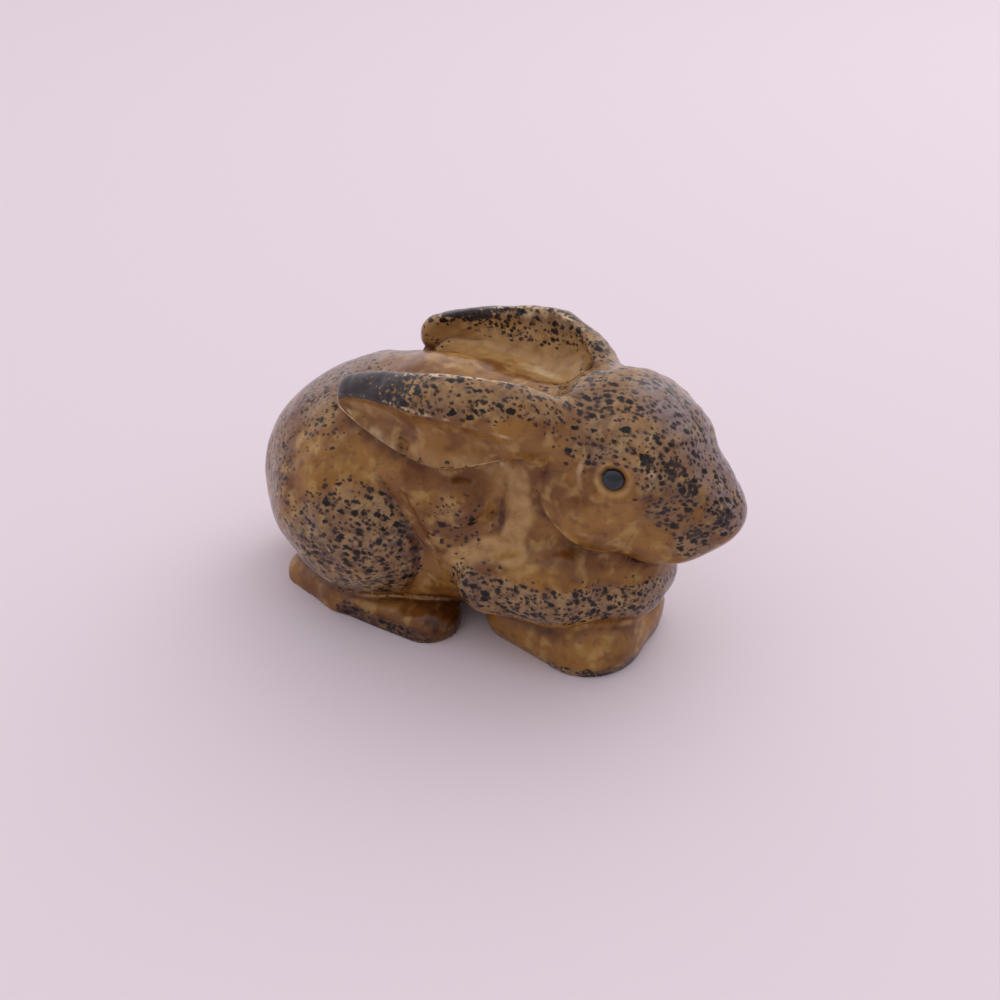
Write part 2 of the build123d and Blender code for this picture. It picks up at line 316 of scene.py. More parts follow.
# Haunches: the two swelling thighs, pressed in a mould and luted on to the sides of the rump.
# The flank falls away in front of each.
haunch_place, haunch_radii = (-15.0, -8.6, 13.8), (11.6, 8.9, 11.0)
HAUNCH_YAW, HAUNCH_PITCH = -4.0, 18.0
MIRROR = np.array([1.0, -1.0, 1.0])
KNEE_FILLET, THIGH_FILLET, thigh_start, thigh_end = 0.8, 4.5, -9.0, -1.0
KNEE_LEAN = (0.8, -0.6)
haunch_rays = ((-18.0, -8.0, 14.0), (-10.0, -8.0, 14.6), 9.0, 20.0, FINE)


def haunch_form(p):
    """A thigh: one leaning ellipsoid on each side."""
    return ellipsoid(right_side(p), haunch_place, haunch_radii, HAUNCH_YAW, HAUNCH_PITCH)


def make_pair(name, skin, *rays):
    """The right-hand piece from its skin, and the left-hand one as its mirror image."""
    points, faces = skin_of(skin, *rays)
    glazed["right_" + name] = make_piece("right_" + name, points, faces, "right_" + name)
    mirrored = points * MIRROR
    glazed["left_" + name] = make_piece("left_" + name, mirrored, [f[::-1] for f in faces], "left_" + name)


def haunch_fillet(p):
    """Fillet round the haunch: crisp at the knee and the foot, wide up over the rump."""
    forward = KNEE_LEAN[0] * (p[:, 0] - haunch_place[0]) + KNEE_LEAN[1] * (p[:, 2] - haunch_place[2])
    return THIGH_FILLET + (KNEE_FILLET - THIGH_FILLET) * smooth_step(thigh_start, thigh_end, forward)


make_pair("haunch", seated(figure, haunch_form, haunch_fillet), *haunch_rays)
figure = luted(figure, haunch_form, haunch_fillet)


# Hind feet: long low feet of stoneware that curve round the rump from the heel and lie flat under
# the haunches, with the instep pressed flat and the toes a little wider than the heel.
heel, hock, toes = (-25.0, -7.2, 0.4), (-17.0, -9.2, 1.2), (-4.4, -9.7, 1.4)
HEEL_RADIUS, HOCK_RADIUS, TOE_RADIUS = 3.6, 4.2, 4.6
INSTEP, INSTEP_ROUND, HOCK_BLEND = 4.2, 2.0, 1.0
HIND_FOOT_FILLET = 0.8
hind_foot_rays = ((-24.0, -7.2, 2.2), (-5.0, -9.5, 2.2), 5.0, 14.0, FINE)


def hind_foot_form(p):
    """A foot: two round cones in line from heel to toes, flattened on top."""
    q = right_side(p)
    rear = round_cone(q, heel, hock, HEEL_RADIUS, HOCK_RADIUS)
    d = smooth_min(rear, round_cone(q, hock, toes, HOCK_RADIUS, TOE_RADIUS), HOCK_BLEND)
    return smooth_max(d, q[:, 2] - INSTEP, INSTEP_ROUND)


make_pair("hind_foot", seated(figure, hind_foot_form, HIND_FOOT_FILLET), *hind_foot_rays)
figure = luted(figure, hind_foot_form, HIND_FOOT_FILLET)


# Forelegs: folded forearms, thick at the shoulder, that run from the elbow round to the breast
# and meet under the chin.
elbow, forearm, wrist = (5.3, -8.7, 10.9), (13.6, -6.8, 12.0), (21.4, -2.5, 11.3)
ELBOW_RADIUS, FOREARM_RADIUS, WRIST_RADIUS = 5.2, 6.1, 4.8
FOREARM_BLEND = 2.0
FORELEG_FILLET = 1.0
foreleg_rays = ((6.5, -7.6, 10.8), (19.5, -4.0, 12.0), 6.0, 16.0, FINE)


def foreleg_form(p):
    """A folded forearm: two round cones from elbow to wrist, rounded where they bend."""
    q = right_side(p)
    upper = round_cone(q, elbow, forearm, ELBOW_RADIUS, FOREARM_RADIUS)
    return smooth_min(upper, round_cone(q, forearm, wrist, FOREARM_RADIUS, WRIST_RADIUS), FOREARM_BLEND)


def own_side(skin):
    """A skin that stays on the right: past the middle plane it sinks under its left-hand twin."""
    return lambda p: skin(p) + SINK * np.maximum(0.0, p[:, 1])


make_pair("foreleg", own_side(seated(figure, foreleg_form, FORELEG_FILLET)), *foreleg_rays)
figure = luted(figure, foreleg_form, FORELEG_FILLET)


# Forepaws: rounded paws of stoneware, flat underneath, tucked under the forearms and pressed
# together so that their toes meet in front.
paw_heel, paw_ball = (6.4, -4.6, 2.4), (16.3, -5.5, 2.4)
PAW_HEEL_RADIUS, PAW_BALL_RADIUS = 4.2, 5.6
paw_toes, paw_toe_radii = (17.9, -3.6, 2.2), (6.2, 6.8, 5.6)
PAW_BLEND, PAW_CLOSENESS = 2.0, 2.4
FOREPAW_FILLET = 0.8
forepaw_rays = ((8.0, -5.2, 2.6), (17.5, -4.8, 2.6), 6.0, 14.0, FINE)


def forepaw_form(p):
    """A paw: a round cone along it and an ellipsoid for its toes, close against its twin."""
    q = right_side(p, PAW_CLOSENESS)
    d = round_cone(q, paw_heel, paw_ball, PAW_HEEL_RADIUS, PAW_BALL_RADIUS)
    return smooth_min(d, ellipsoid(q, paw_toes, paw_toe_radii), PAW_BLEND)


make_pair("forepaw", own_side(seated(figure, forepaw_form, FOREPAW_FILLET)), *forepaw_rays)
figure = luted(figure, forepaw_form, FOREPAW_FILLET)


# Head: a hollow casting luted on to the neck, with a high forehead, round cheeks that overhang the
# neck, a deep muzzle, and a lid pressed up round each eye.
cranium_place, cranium_radii = (18.3, 0.0, 30.0), (9.9, 9.0, 9.0)
bridge, nose = (22.5, 0.0, 27.5), (30.2, 0.0, 23.6)
BRIDGE_RADIUS, NOSE_RADIUS, MUZZLE_BLEND = 8.2, 4.8, 4.0
jaw, chin = (17.2, 0.0, 22.7), (27.2, 0.0, 20.2)
JAW_RADIUS, CHIN_RADIUS, JAW_BLEND = 7.0, 4.3, 3.0
cheek_place, cheek_radii, CHEEK_PITCH, CHEEK_BLEND = (16.2, -5.5, 23.6), (7.6, 5.3, 6.7), -4.0, 2.0
lip_crease = [((26.0, -7.9, 24.0), 0.1), ((27.0, -7.7, 21.6), 0.6), ((29.0, -6.6, 19.0), 0.6)]
LIP_ROUND = 1.2
jowl_place, jowl_radii, JOWL_BLEND = (24.6, -3.6, 20.4), (6.0, 3.6, 3.8), 2.0
brow_place, brow_radii, BROW_PITCH, BROW_BLEND = (22.3, -5.4, 33.0), (4.0, 2.4, 1.5), -20.0, 2.5
eye_sight = np.array([18.8, 0.0, 28.0])
eye_out = np.array([0.28, -0.93, 0.22])
eye_out = eye_out / np.linalg.norm(eye_out)
EYE_RAY = 16.0
LID_BACK, LID_FADE = 3.0, 10.0
lid_rings = [((1.95, 1.95), 0.22, 0.8), ((3.8, 2.8), 0.2, 1.6)]
jaw_line_centre, JAW_LINE_RADIUS, JAW_LINE_ROUND = (28.8, 36.4), 20.4, 0.7
HEAD_FILLET = 0.35
HEAD_FINE = 0.8 * FINE
head_rays = ((17.5, 0.0, 27.5), (26.5, 0.0, 24.5), 10.0, 18.0, HEAD_FINE)


def bare_head_form(p):
    """The head without its lids: cranium, muzzle, jaw, jowls, cheeks and brows, rounded together,
    creased behind the lip and trimmed below and behind by the wide arc of the jaw line."""
    q = right_side(p)
    d = ellipsoid(p, cranium_place, cranium_radii)
    d = smooth_min(d, round_cone(p, bridge, nose, BRIDGE_RADIUS, NOSE_RADIUS), MUZZLE_BLEND)
    d = smooth_min(d, round_cone(p, jaw, chin, JAW_RADIUS, CHIN_RADIUS), JAW_BLEND)
    d = smooth_min(d, ellipsoid(q, jowl_place, jowl_radii), JOWL_BLEND)
    d = smooth_min(d, ellipsoid(q, cheek_place, cheek_radii, 0.0, CHEEK_PITCH), CHEEK_BLEND)
    d = smooth_min(d, ellipsoid(q, brow_place, brow_radii, 0.0, BROW_PITCH), BROW_BLEND)
    d = smooth_max(d, -bead_chain(q, lip_crease), LIP_ROUND)
    jaw_line = np.hypot(p[:, 0] - jaw_line_centre[0], p[:, 2] - jaw_line_centre[1]) - JAW_LINE_RADIUS
    return smooth_max(d, jaw_line, JAW_LINE_ROUND)


eye_place = eye_sight + skin_distance(bare_head_form, eye_sight[None], eye_out[None], EYE_RAY)[0] * eye_out


def lid_form(q, skin, radii, thickness):
    """A lid round the eye: a rod on the skin round an oval, seen along the eye's own axis."""
    side = np.cross((0.0, 0.0, 1.0), eye_out)
    side = side / np.linalg.norm(side)
    r = q - eye_place
    across, lift = r @ side / radii[0], r @ np.cross(eye_out, side) / radii[1]
    oval = np.hypot(across, lift)
    slope = np.maximum(np.hypot(across / radii[0], lift / radii[1]), LEAST_SLOPE)
    behind = np.maximum(0.0, -r @ eye_out - LID_BACK)
    return np.hypot(oval * (oval - 1.0) / slope, skin) - thickness + LID_FADE * behind


def head_form(p):
    """The head with the lids rounded into it on each side."""
    skin, q = bare_head_form(p), right_side(p)
    d = skin
    for radii, thickness, blend in lid_rings:
        d = smooth_min(d, lid_form(q, skin, radii, thickness), blend)
    return d


points, faces = skin_of(seated(figure, head_form, HEAD_FILLET), *head_rays)
glazed["head"] = make_piece("head", points, faces, "head_shell")
figure = luted(figure, head_form, HEAD_FILLET)


# Ears: two long leaves pressed in a mould, luted along the shoulders with their roots in the crown.
# The outer face of each is scooped out between a folded top edge and a thin lower rim.
ear_stations = np.array([-16.4, -15.4, -13.0, -10.0, -5.0, 0.0, 5.0, 9.0, 12.0, 16.0, 20.0])
ear_half_heights = np.array([1.3, 2.2, 3.2, 4.2, 5.4, 6.2, 5.6, 4.7, 4.0, 2.6, 0.6])
ear_levels = np.array([32.6, 32.8, 33.1, 33.2, 33.1, 33.4, 34.2, 34.6, 34.2, 33.0, 31.4])
ear_outs = np.array([10.2, 10.3, 10.6, 11.0, 11.5, 11.7, 11.0, 9.7, 8.3, 5.8, 3.4])
ear_half_widths = np.array([1.2, 1.6, 2.2, 2.8, 3.4, 3.7, 3.6, 3.4, 3.2, 2.4, 0.6])
scoop_stations = np.array([-15.0, -14.0, -12.0, -8.0, -2.0, 3.0, 7.0, 10.0, 13.0])
scoop_tops = np.array([33.0, 33.6, 34.4, 35.2, 35.4, 35.3, 34.6, 33.7, 32.6])
scoop_bottoms = np.array([32.6, 32.0, 30.8, 29.1, 27.9, 28.3, 29.4, 30.4, 31.4])
medial_stations = np.array([-16.0, -12.0, -6.0, 4.0, 9.0, 13.0])
medial_depths = np.array([-1.0, 0.2, 0.6, 0.6, 0.0, -1.5])
MEDIAL_RADIUS, MEDIAL_ROUND = 8.0, 0.5
EAR_ROLL = math.radians(4.0)
EAR_TIP, EAR_ROOT, TIP_ROUND = -16.2, 20.0, 2.0
SCOOP_STAND_OFF, SCOOP_DEEPEST, SCOOP_ROUND = 0.9, 3.3, 0.5
THINNEST_LEAF, THINNEST_SCOOP, LEAF_STEEPNESS = 0.2, 0.05, 0.8
CREST_INSET, CREST_DROP = 1.2, 1.0
SCOOP_SHARE, scoop_fade, SCOOP_FADE_SHARE = 0.75, (7.0, 13.0), 0.75
RIM_FILLET, VALLEY_FILLET, CROWN_FILLET, ROOT_FILLET = 0.6, 3.6, 3.0, 2.2
valley_across, valley_along = (-0.5, 2.5), (-15.0, -9.0)
crown_along, crown_up, root_along = (8.0, 13.0), (-2.0, 1.0), (7.5, 11.5)
rim_crowd, ear_bow = (math.radians(-50.0), 0.6), (0.0, -1.7, -0.4)
EAR_FINE = 0.7 * FINE
ear_rays = ((-13.0, -10.7, 33.4), (11.0, -8.9, 34.2), 7.0, 16.0, EAR_FINE, rim_crowd, ear_bow)


def along_ear(x, stations, values):
    """Smooth curve through a few given values: cubic pieces with the neighbours' mean slope."""
    slopes = np.gradient(values, stations)
    i = np.clip(np.searchsorted(stations, x) - 1, 0, len(stations) - 2)
    step = stations[i + 1] - stations[i]
    t = np.clip((x - stations[i]) / step, 0.0, 1.0)
    start = (2 * t ** 3 - 3 * t ** 2 + 1) * values[i] + (t ** 3 - 2 * t ** 2 + t) * step * slopes[i]
    end = (3 * t ** 2 - 2 * t ** 3) * values[i + 1] + (t ** 3 - t ** 2) * step * slopes[i + 1]
    return start + end


def ear_section(q):
    """Place along the ear, and the distances out and up from its middle line, rolled with the leaf."""
    x = q[:, 0]
    out = -q[:, 1] - along_ear(x, ear_stations, ear_outs)
    up = q[:, 2] - along_ear(x, ear_stations, ear_levels)
    c, s = math.cos(EAR_ROLL), math.sin(EAR_ROLL)
    return x, out * c + up * s, up * c - out * s


def leaf_form(p):
    """The leaf: an upright oval carried along the ear's middle line, hollowed on its inner side so
    that its top is a crisp crest."""
    x, out, up = ear_section(right_side(p))
    tall = np.maximum(along_ear(x, ear_stations, ear_half_heights), THINNEST_LEAF)
    wide = np.maximum(along_ear(x, ear_stations, ear_half_widths), THINNEST_LEAF)
    scaled = np.hypot(out / wide, up / tall)
    slope = np.maximum(np.hypot(out / wide ** 2, up / tall ** 2), LEAST_SLOPE)
    d = smooth_max(np.maximum(scaled * (scaled - 1.0) / slope, x - EAR_ROOT), EAR_TIP - x, TIP_ROUND)
    depth = along_ear(x, medial_stations, medial_depths)
    hollow = np.hypot(out + MEDIAL_RADIUS + CREST_INSET - depth, up - tall + CREST_DROP) - MEDIAL_RADIUS
    return LEAF_STEEPNESS * smooth_max(d, -hollow, MEDIAL_ROUND)


def scoop_form(p):
    """The hollow in the ear's outer face: an oval cutter between the fold and the lower rim."""
    q = right_side(p)
    x = q[:, 0]
    top = along_ear(x, scoop_stations, scoop_tops)
    bottom = along_ear(x, scoop_stations, scoop_bottoms)
    tall = np.maximum((top - bottom) / 2, THINNEST_SCOOP)
    deep = np.minimum(SCOOP_DEEPEST, SCOOP_STAND_OFF + SCOOP_SHARE * tall)
    deep = deep * (1.0 - SCOOP_FADE_SHARE * smooth_step(*scoop_fade, x))
    edge = along_ear(x, ear_stations, ear_outs + ear_half_widths) + SCOOP_STAND_OFF
    scaled = np.hypot((-q[:, 1] - edge) / deep, (q[:, 2] - (top + bottom) / 2) / tall)
    d = (scaled - 1.0) * np.minimum(deep, tall)
    return np.maximum(d, np.maximum(scoop_stations[0] - x, x - scoop_stations[-1]))


def ear_foot(p):
    """Fillet on the ear's own skin: crisp along the body, which is drawn up to it, wide at the root."""
    x, _, up = ear_section(right_side(p))
    crown = CROWN_FILLET * smooth_step(*crown_along, x) * smooth_step(*crown_up, up)
    return np.max([np.full(len(x), RIM_FILLET), crown, ROOT_FILLET * smooth_step(*root_along, x)], axis=0)


def ear_fillet(p):
    """Fillet round the ear: its own, and wider in the valley between ear and back."""
    x, out, _ = ear_section(right_side(p))
    valley = smooth_step(*valley_across, -out) * smooth_step(*valley_along, x)
    return np.maximum(ear_foot(p), RIM_FILLET + (VALLEY_FILLET - RIM_FILLET) * valley)


def drawn_up_body(p):
    """Zero on the body: its skin, with the clay drawn up the feet of the ears and then under them."""
    body, leaf, wide = body_skin(p), leaf_form(p), ear_fillet(p)
    return smooth_min(body, leaf, wide) + SINK * np.maximum(0.0, body - leaf - wide - OVERLAP)


def ear_skin(p):
    """Zero on the ear: the leaf luted to head and body and sinking under them, less its hollow."""
    leaf = own_side(seated(whole_but_ears, leaf_form, ear_foot))
    return smooth_max(leaf(p), -scoop_form(p), SCOOP_ROUND)


whole_but_ears = figure
make_pair("ear", ear_skin, *ear_rays)
points, faces = skin_of(drawn_up_body, *body_rays)
glazed["body"] = make_piece("body", points, faces, "body_shell")


def figure(p):
    """The finished clay: all pieces, uneven from hand work, the ears scooped, flat at the base."""
    p = hand_made(p)
    d = smooth_min(whole_but_ears(p), leaf_form(p), ear_fillet(p))
    return on_base(smooth_max(d, -scoop_form(p), SCOOP_ROUND), p)


# Eyes: domed beads of blue-black glaze, dripped thick into the sockets of the head before the
# last firing, so that each stands proud between its lids.
EYE_RADIUS, EYE_DOME = 1.4, 1.0
eye_ring_count, eye_turn_count = 24, 48


def eye_points():
    """An ellipsoid round the eye's axis: rings from its back to its front, turned about the axis and
    shifted as hand work shifts the skin there."""
    side = np.cross(eye_out, (0.0, 0.0, 1.0))
    side = side / np.linalg.norm(side)
    lift = np.cross(side, eye_out)
    tip = np.linspace(0.0, math.pi, eye_ring_count + 2)[1:-1]
    turn = np.linspace(0.0, 2 * math.pi, eye_turn_count, endpoint=False)
    ring = EYE_RADIUS * (np.cos(turn)[:, None] * side + np.sin(turn)[:, None] * lift)
    rows = -np.cos(tip)[:, None, None] * EYE_DOME * eye_out + np.sin(tip)[:, None, None] * ring[None]
    poles = np.stack([-EYE_DOME * eye_out, EYE_DOME * eye_out])
    return np.vstack([rows.reshape(-1, 3), poles]) + 2 * eye_place - hand_made(eye_place[None])


points = eye_points()
faces = closed_faces(eye_ring_count * eye_turn_count, eye_turn_count)
eyes = [make_piece("right_eye", points, faces, "right_eye")]
eyes.append(make_piece("left_eye", points * MIRROR, [f[::-1] for f in faces], "left_eye"))


def linear(hex_colour):
    """Linear RGBA of an sRGB hex colour."""
    channels = [int(hex_colour[i:i + 2], 16) / 255 for i in (1, 3, 5)]
    return [c / 12.92 if c <= 0.04045 else ((c + 0.055) / 1.055) ** 2.4 for c in channels] + [1.0]


def add_node(tree, kind, inputs=None, **settings):
    """Add a node, set its properties, and set or link its inputs by name or number."""
    node = tree.nodes.new(kind)
    for key, value in settings.items():
        setattr(node, key, value)
    for key, value in (inputs or {}).items():
        if isinstance(value, bpy.types.NodeSocket):
            tree.links.new(value, node.inputs[key])
        else:
            node.inputs[key].default_value = value
    return node


def new_material(name):
    """An empty node material and the tree to fill."""
    material = bpy.data.materials.new(name)
    material.use_nodes = True
    material.node_tree.nodes.clear()
    return material, material.node_tree


# Black glaze: a thick blue-black gloss, fired smooth, with slow clouds of the two tones.
EYE_CLOUDS_PER_MM = 0.6
eye_glaze, tree = new_material("black_glaze")
coords = add_node(tree, "ShaderNodeTexCoord")
cloud = add_node(tree, "ShaderNodeTexNoise", {
    "Vector": coords.outputs["Object"], "Scale": EYE_CLOUDS_PER_MM / mm})
ramp = add_node(tree, "ShaderNodeValToRGB", {"Fac": cloud.outputs["Fac"]})
ramp.color_ramp.elements[0].color = linear("#0b0e16")
ramp.color_ramp.elements[1].color = linear("#1c2534")
gloss = add_node(tree, "ShaderNodeBsdfPrincipled", {
    "Base Color": ramp.outputs["Color"], "Roughness": 0.12, "IOR": 1.52})
add_node(tree, "ShaderNodeOutputMaterial", {"Surface": gloss.outputs["BSDF"]})
for eye in eyes:
    eye.data.materials.append(eye_glaze)


# Glaze: the whole figure is glazed in one go, honey brown over pale clay. It pools dark and amber
# in hollows, breaks pale over sharp edges, and carries dark iron specks on what stands proud:
# haunches, forearms, ear tops, crown and muzzle, with the ear tips and the toes nearly black.
pool_steps = (0.6, 1.6, 4.0)
EDGE_STEP = 0.8
GRADIENT_STEP, FLATTEST = 0.05, 1e-9
speck_spots = [
    ((-27.0, -7.0, 17.0), 13.0, 0.7),
    ((-20.0, -5.0, 30.0), 11.0, 0.68),
    ((2.0, -12.5, 19.5), 6.0, 0.5),
    ((26.0, -7.0, 32.0), 4.0, 1.15),
    ((29.5, -5.0, 28.6), 3.6, 1.0),
    ((27.8, -6.6, 25.8), 4.4, 0.75),
    ((33.0, -3.0, 25.0), 4.0, 0.95),
    ((30.4, -5.0, 22.0), 4.0, 0.85),
]
bare_spots = [
    ((15.5, -9.5, 25.0), 7.5),
    ((21.6, -9.4, 29.2), 3.4),
    ((9.5, -10.0, 22.0), 3.5),
]
LID_RING, LID_BRUSH = 2.0, 0.7
smudges = [
    ((27.6, -6.4, 31.4), 1.5),
    ((25.2, -7.9, 32.8), 1.0),
    ((29.6, -5.2, 28.8), 1.2),
    ((30.6, -5.0, 22.6), 1.2),
    ((33.2, -3.2, 25.3), 1.4),
    ((19.8, -10.2, 0.4), 1.5),
]
# Dark stains of glaze: in front of the haunch, down the neck groove, under the jaw, on the muzzle and along
# the lower edges of the feet. Two strokes are painted shade instead, as marked.
stain_and_shade_lines = [
    ([(-9.1, -12.8, 23.5), (-7.4, -12.7, 21.2), (-5.6, -12.5, 18.6), (-4.4, -12.3, 15.0),
      (-4.5, -12.0, 11.0), (-6.6, -11.6, 6.0)], 0.4, 0.75),
    ([(7.1, -9.6, 26.0), (7.0, -10.0, 20.0)], 0.3, 0.8),
    ([(13.6, -10.4, 17.8), (18.0, -10.5, 15.6), (21.4, -8.2, 14.0)], 0.5, 0.3),
    # Painted shade between the hind foot's toes and the foreleg.
    ([(-1.6, -11.4, 2.4), (0.4, -8.6, 1.4)], 1.6, 0.9),
    ([(26.6, -7.2, 27.0), (30.6, -5.0, 25.0)], 2.0, 0.45),
    ([(-15.0, -13.6, 0.4), (-9.0, -14.2, 0.8), (-3.0, -13.2, 1.0)], 1.2, 0.8),
    # Painted shade on the front of the forepaw.
    ([(24.0, -4.0, 4.0), (23.4, -7.6, 4.4)], 1.6, 0.35),
    ([(21.0, -10.0, 0.2), (23.6, -6.0, 0.4), (24.0, 0.0, 0.4)], 0.8, 0.7),
]
pale_lines = [
    ([(2.4, -12.0, 14.6), (5.6, -10.8, 16.4), (9.5, -10.8, 16.6)], 1.1, 0.75),
    ([(9.0, -9.4, 27.0), (9.6, -9.6, 21.0), (8.6, -9.9, 18.4)], 1.0, 0.65),
    ([(-22.0, -9.0, 4.4), (-8.0, -12.4, 4.2)], 0.9, 0.5),
    ([(-12.0, -9.0, 33.4), (0.0, -8.8, 34.4), (8.0, -7.0, 35.0)], 2.2, 0.65),
    ([(-12.0, -12.0, 30.4), (-4.0, -13.6, 28.4), (6.0, -12.6, 29.0)], 1.0, 0.45),
]
# Painted sheen: the grey reflection of the sky, painted along the nose bridge and forehead, up the rump and
# between the wrists.
painted_sheen_lines = [
    ([(35.0, 0.0, 27.0), (31.0, 0.0, 33.5), (25.0, 0.0, 37.5)], 3.0, 0.9),
    ([(-33.0, 0.0, 14.0), (-28.0, 0.0, 26.0), (-18.0, 0.0, 33.0)], 5.0, 0.6),
    ([(24.0, -3.0, 11.0), (24.5, 0.0, 12.0)], 2.0, 0.6),
]

# How thick the iron lies on each piece, and the bands in millimetres over which it comes and goes.
SPOT_CORE, STROKE_SOFTNESS = 0.4, 1.2
HAUNCH_LEAST, HAUNCH_MORE, haunch_lean, haunch_band = 0.7, 0.8, (0.5, -0.85), (-7.0, 3.0)
CROWN_SPECKS, CROWN_REACH, crown_band, CROWN_SLOPE, CROWN_X = 0.76, 4.0, (27.5, 32.0), 0.3, 21.0
EAR_TOP_SPECKS, ear_top_band, EAR_RIM_SPECKS, EAR_RIM_LEVEL = 0.74, (0.8, 2.4), 0.4, -5.0
ARM_SPECKS, arm_band = 1.1, (7.6, 9.4, 12.6, 15.4)
SOLE_SPECKS, sole_level, sole_ends = 1.6, (1.2, 1.6), (-19.0, -14.0, -4.0, -1.0)
TOE_SPECKS, toe_level, toe_start = 1.4, (0.6, 1.6), (12.0, 17.0)
BARE_CORE, SCOOP_CLEAN, SCOOP_EDGE = 0.6, 0.97, 0.3
TIP_DARKNESS, TIP_SCOOP_EDGE = 1.15, 0.2
tip_along, tip_out, tip_up, tip_crest = (-11.0, 5.0), (-0.8, 0.2), (-0.4, 0.6), (2.6, 3.6)
base_clean, lid_clean, LID_PALENESS = (0.4, 1.4), (3.0, 5.2), 0.6
speck_pool, SMUDGE_SPREAD, SMUDGE_STRENGTH = (0.2, 0.6), 1.4, 0.85


def near(distance, width=0.8):
    """One on and inside a form, falling to zero a width away from it."""
    return 1.0 - smooth_step(0.0, width, distance)


def between(x, rise, full, fall, end):
    """One from full to fall, and falling to zero at rise below and at end above."""
    return smooth_step(rise, full, x) * (1.0 - smooth_step(fall, end, x))


def spotted(q, spots):
    """The strongest of soft round spots, each full near its middle and gone at its reach."""
    marks = []
    for place, reach, strength in spots:
        away = np.linalg.norm(q - np.array(place), axis=1) / reach
        marks.append(strength * (1.0 - smooth_step(SPOT_CORE, 1.0, away)))
    return np.max(marks, axis=0)


def brushed(q, lines):
    """The strongest of soft brush strokes along bent lines, each with a half width and a strength."""
    strokes = [strength * near(bead_chain(q, [(point, width) for point in line]), STROKE_SOFTNESS * width)
               for line, width, strength in lines]
    return np.max(strokes, axis=0)


def speck_density(q):
    """How thickly the iron specks lie: by piece, then round spots, and none on the bare spots."""
    z = q[:, 2]
    x, _, up = ear_section(q)
    low_front = haunch_lean[0] * (x - haunch_place[0]) + haunch_lean[1] * (z - haunch_place[2])
    haunch = (HAUNCH_LEAST + HAUNCH_MORE * smooth_step(*haunch_band, low_front)) * near(haunch_form(q))
    high = smooth_step(*crown_band, z + CROWN_SLOPE * (x - CROWN_X))
    crown = CROWN_SPECKS * near(head_form(q), CROWN_REACH) * high
    ear = EAR_TOP_SPECKS * smooth_step(*ear_top_band, up) + EAR_RIM_SPECKS * near(up - EAR_RIM_LEVEL, 1.0)
    ear = ear * near(leaf_form(q))
    arm = ARM_SPECKS * near(foreleg_form(q)) * between(z, *arm_band)
    sole = near(hind_foot_form(q)) * near(z - sole_level[0], sole_level[1]) * between(x, *sole_ends)
    paw = near(forepaw_form(q)) * near(z - toe_level[0], toe_level[1]) * smooth_step(*toe_start, x)
    by_piece = [haunch, crown, ear, arm, SOLE_SPECKS * sole, TOE_SPECKS * paw]
    density = np.max(by_piece + [spotted(q, speck_spots)], axis=0)
    for place, reach in bare_spots:
        density = density * smooth_step(BARE_CORE, 1.0, np.linalg.norm(q - np.array(place), axis=1) / reach)
    return density * (1.0 - SCOOP_CLEAN * near(scoop_form(q), SCOOP_EDGE))


def ear_tip(q):
    """How dark the ear's tip is: the upper face, from the tip to near the middle."""
    x, out, up = ear_section(q)
    face = np.maximum(smooth_step(*tip_out, out) * smooth_step(*tip_up, up), smooth_step(*tip_crest, up))
    dark = TIP_DARKNESS * (1.0 - smooth_step(*tip_along, x))
    return near(leaf_form(q)) * dark * face * (1.0 - near(scoop_form(q), TIP_SCOOP_EDGE))


def outward(points):
    """Unit direction out of the clay at points on its skin, and how steep the field is there."""
    steps = GRADIENT_STEP * np.eye(3)
    slope = np.stack([figure(points + step) - figure(points - step) for step in steps], axis=1)
    steepness = np.maximum(np.linalg.norm(slope, axis=1), FLATTEST)
    return slope / steepness[:, None], steepness / (2 * GRADIENT_STEP)


def paint_attributes(piece):
    """Store how far the glaze pools, thins, specks and stains at each point of a piece, and where painted
    shade and a painted sky sheen lie.
    """
    points = np.empty(len(piece.data.vertices) * 3)
    piece.data.vertices.foreach_get("co", points)
    points = points.reshape(-1, 3) / mm
    out, steep = outward(points)
    piece.data.normals_split_custom_set_from_vertices(out)
    q = right_side(hand_made(points))
    pools = [np.clip(1.0 - figure(points + step * out) / (step * steep), 0.0, 1.0) for step in pool_steps]
    edge = np.clip(1.0 + figure(points - EDGE_STEP * out) / (EDGE_STEP * steep), 0.0, 1.0)
    eye_away = np.linalg.norm(q - eye_place, axis=1)
    lid = LID_PALENESS * near(np.abs(eye_away - LID_RING), LID_BRUSH)
    painted = {
        "pool_fine": pools[0],
        "pool": pools[1],
        "pool_wide": pools[2],
        "edge": edge * smooth_step(*base_clean, points[:, 2]) * smooth_step(*lid_clean, eye_away),
        "speck": speck_density(q) * (1.0 - smooth_step(*speck_pool, pools[1])),
        "smudge": spotted(q, [(place, SMUDGE_SPREAD * reach, SMUDGE_STRENGTH) for place, reach in smudges]),
        # Stains, with painted shade among them.
        "stain_and_shade": brushed(q, stain_and_shade_lines),
        "pale": np.maximum(brushed(q, pale_lines), lid),
        # Painted sheen, the sky's grey reflection on what faces it.
        "painted_sheen": brushed(q, painted_sheen_lines),
        "tip": ear_tip(q),
    }
    for name, values in painted.items():
        attribute = piece.data.attributes.new(name, "FLOAT", "POINT")
        attribute.data.foreach_set("value", values.astype(np.float32))


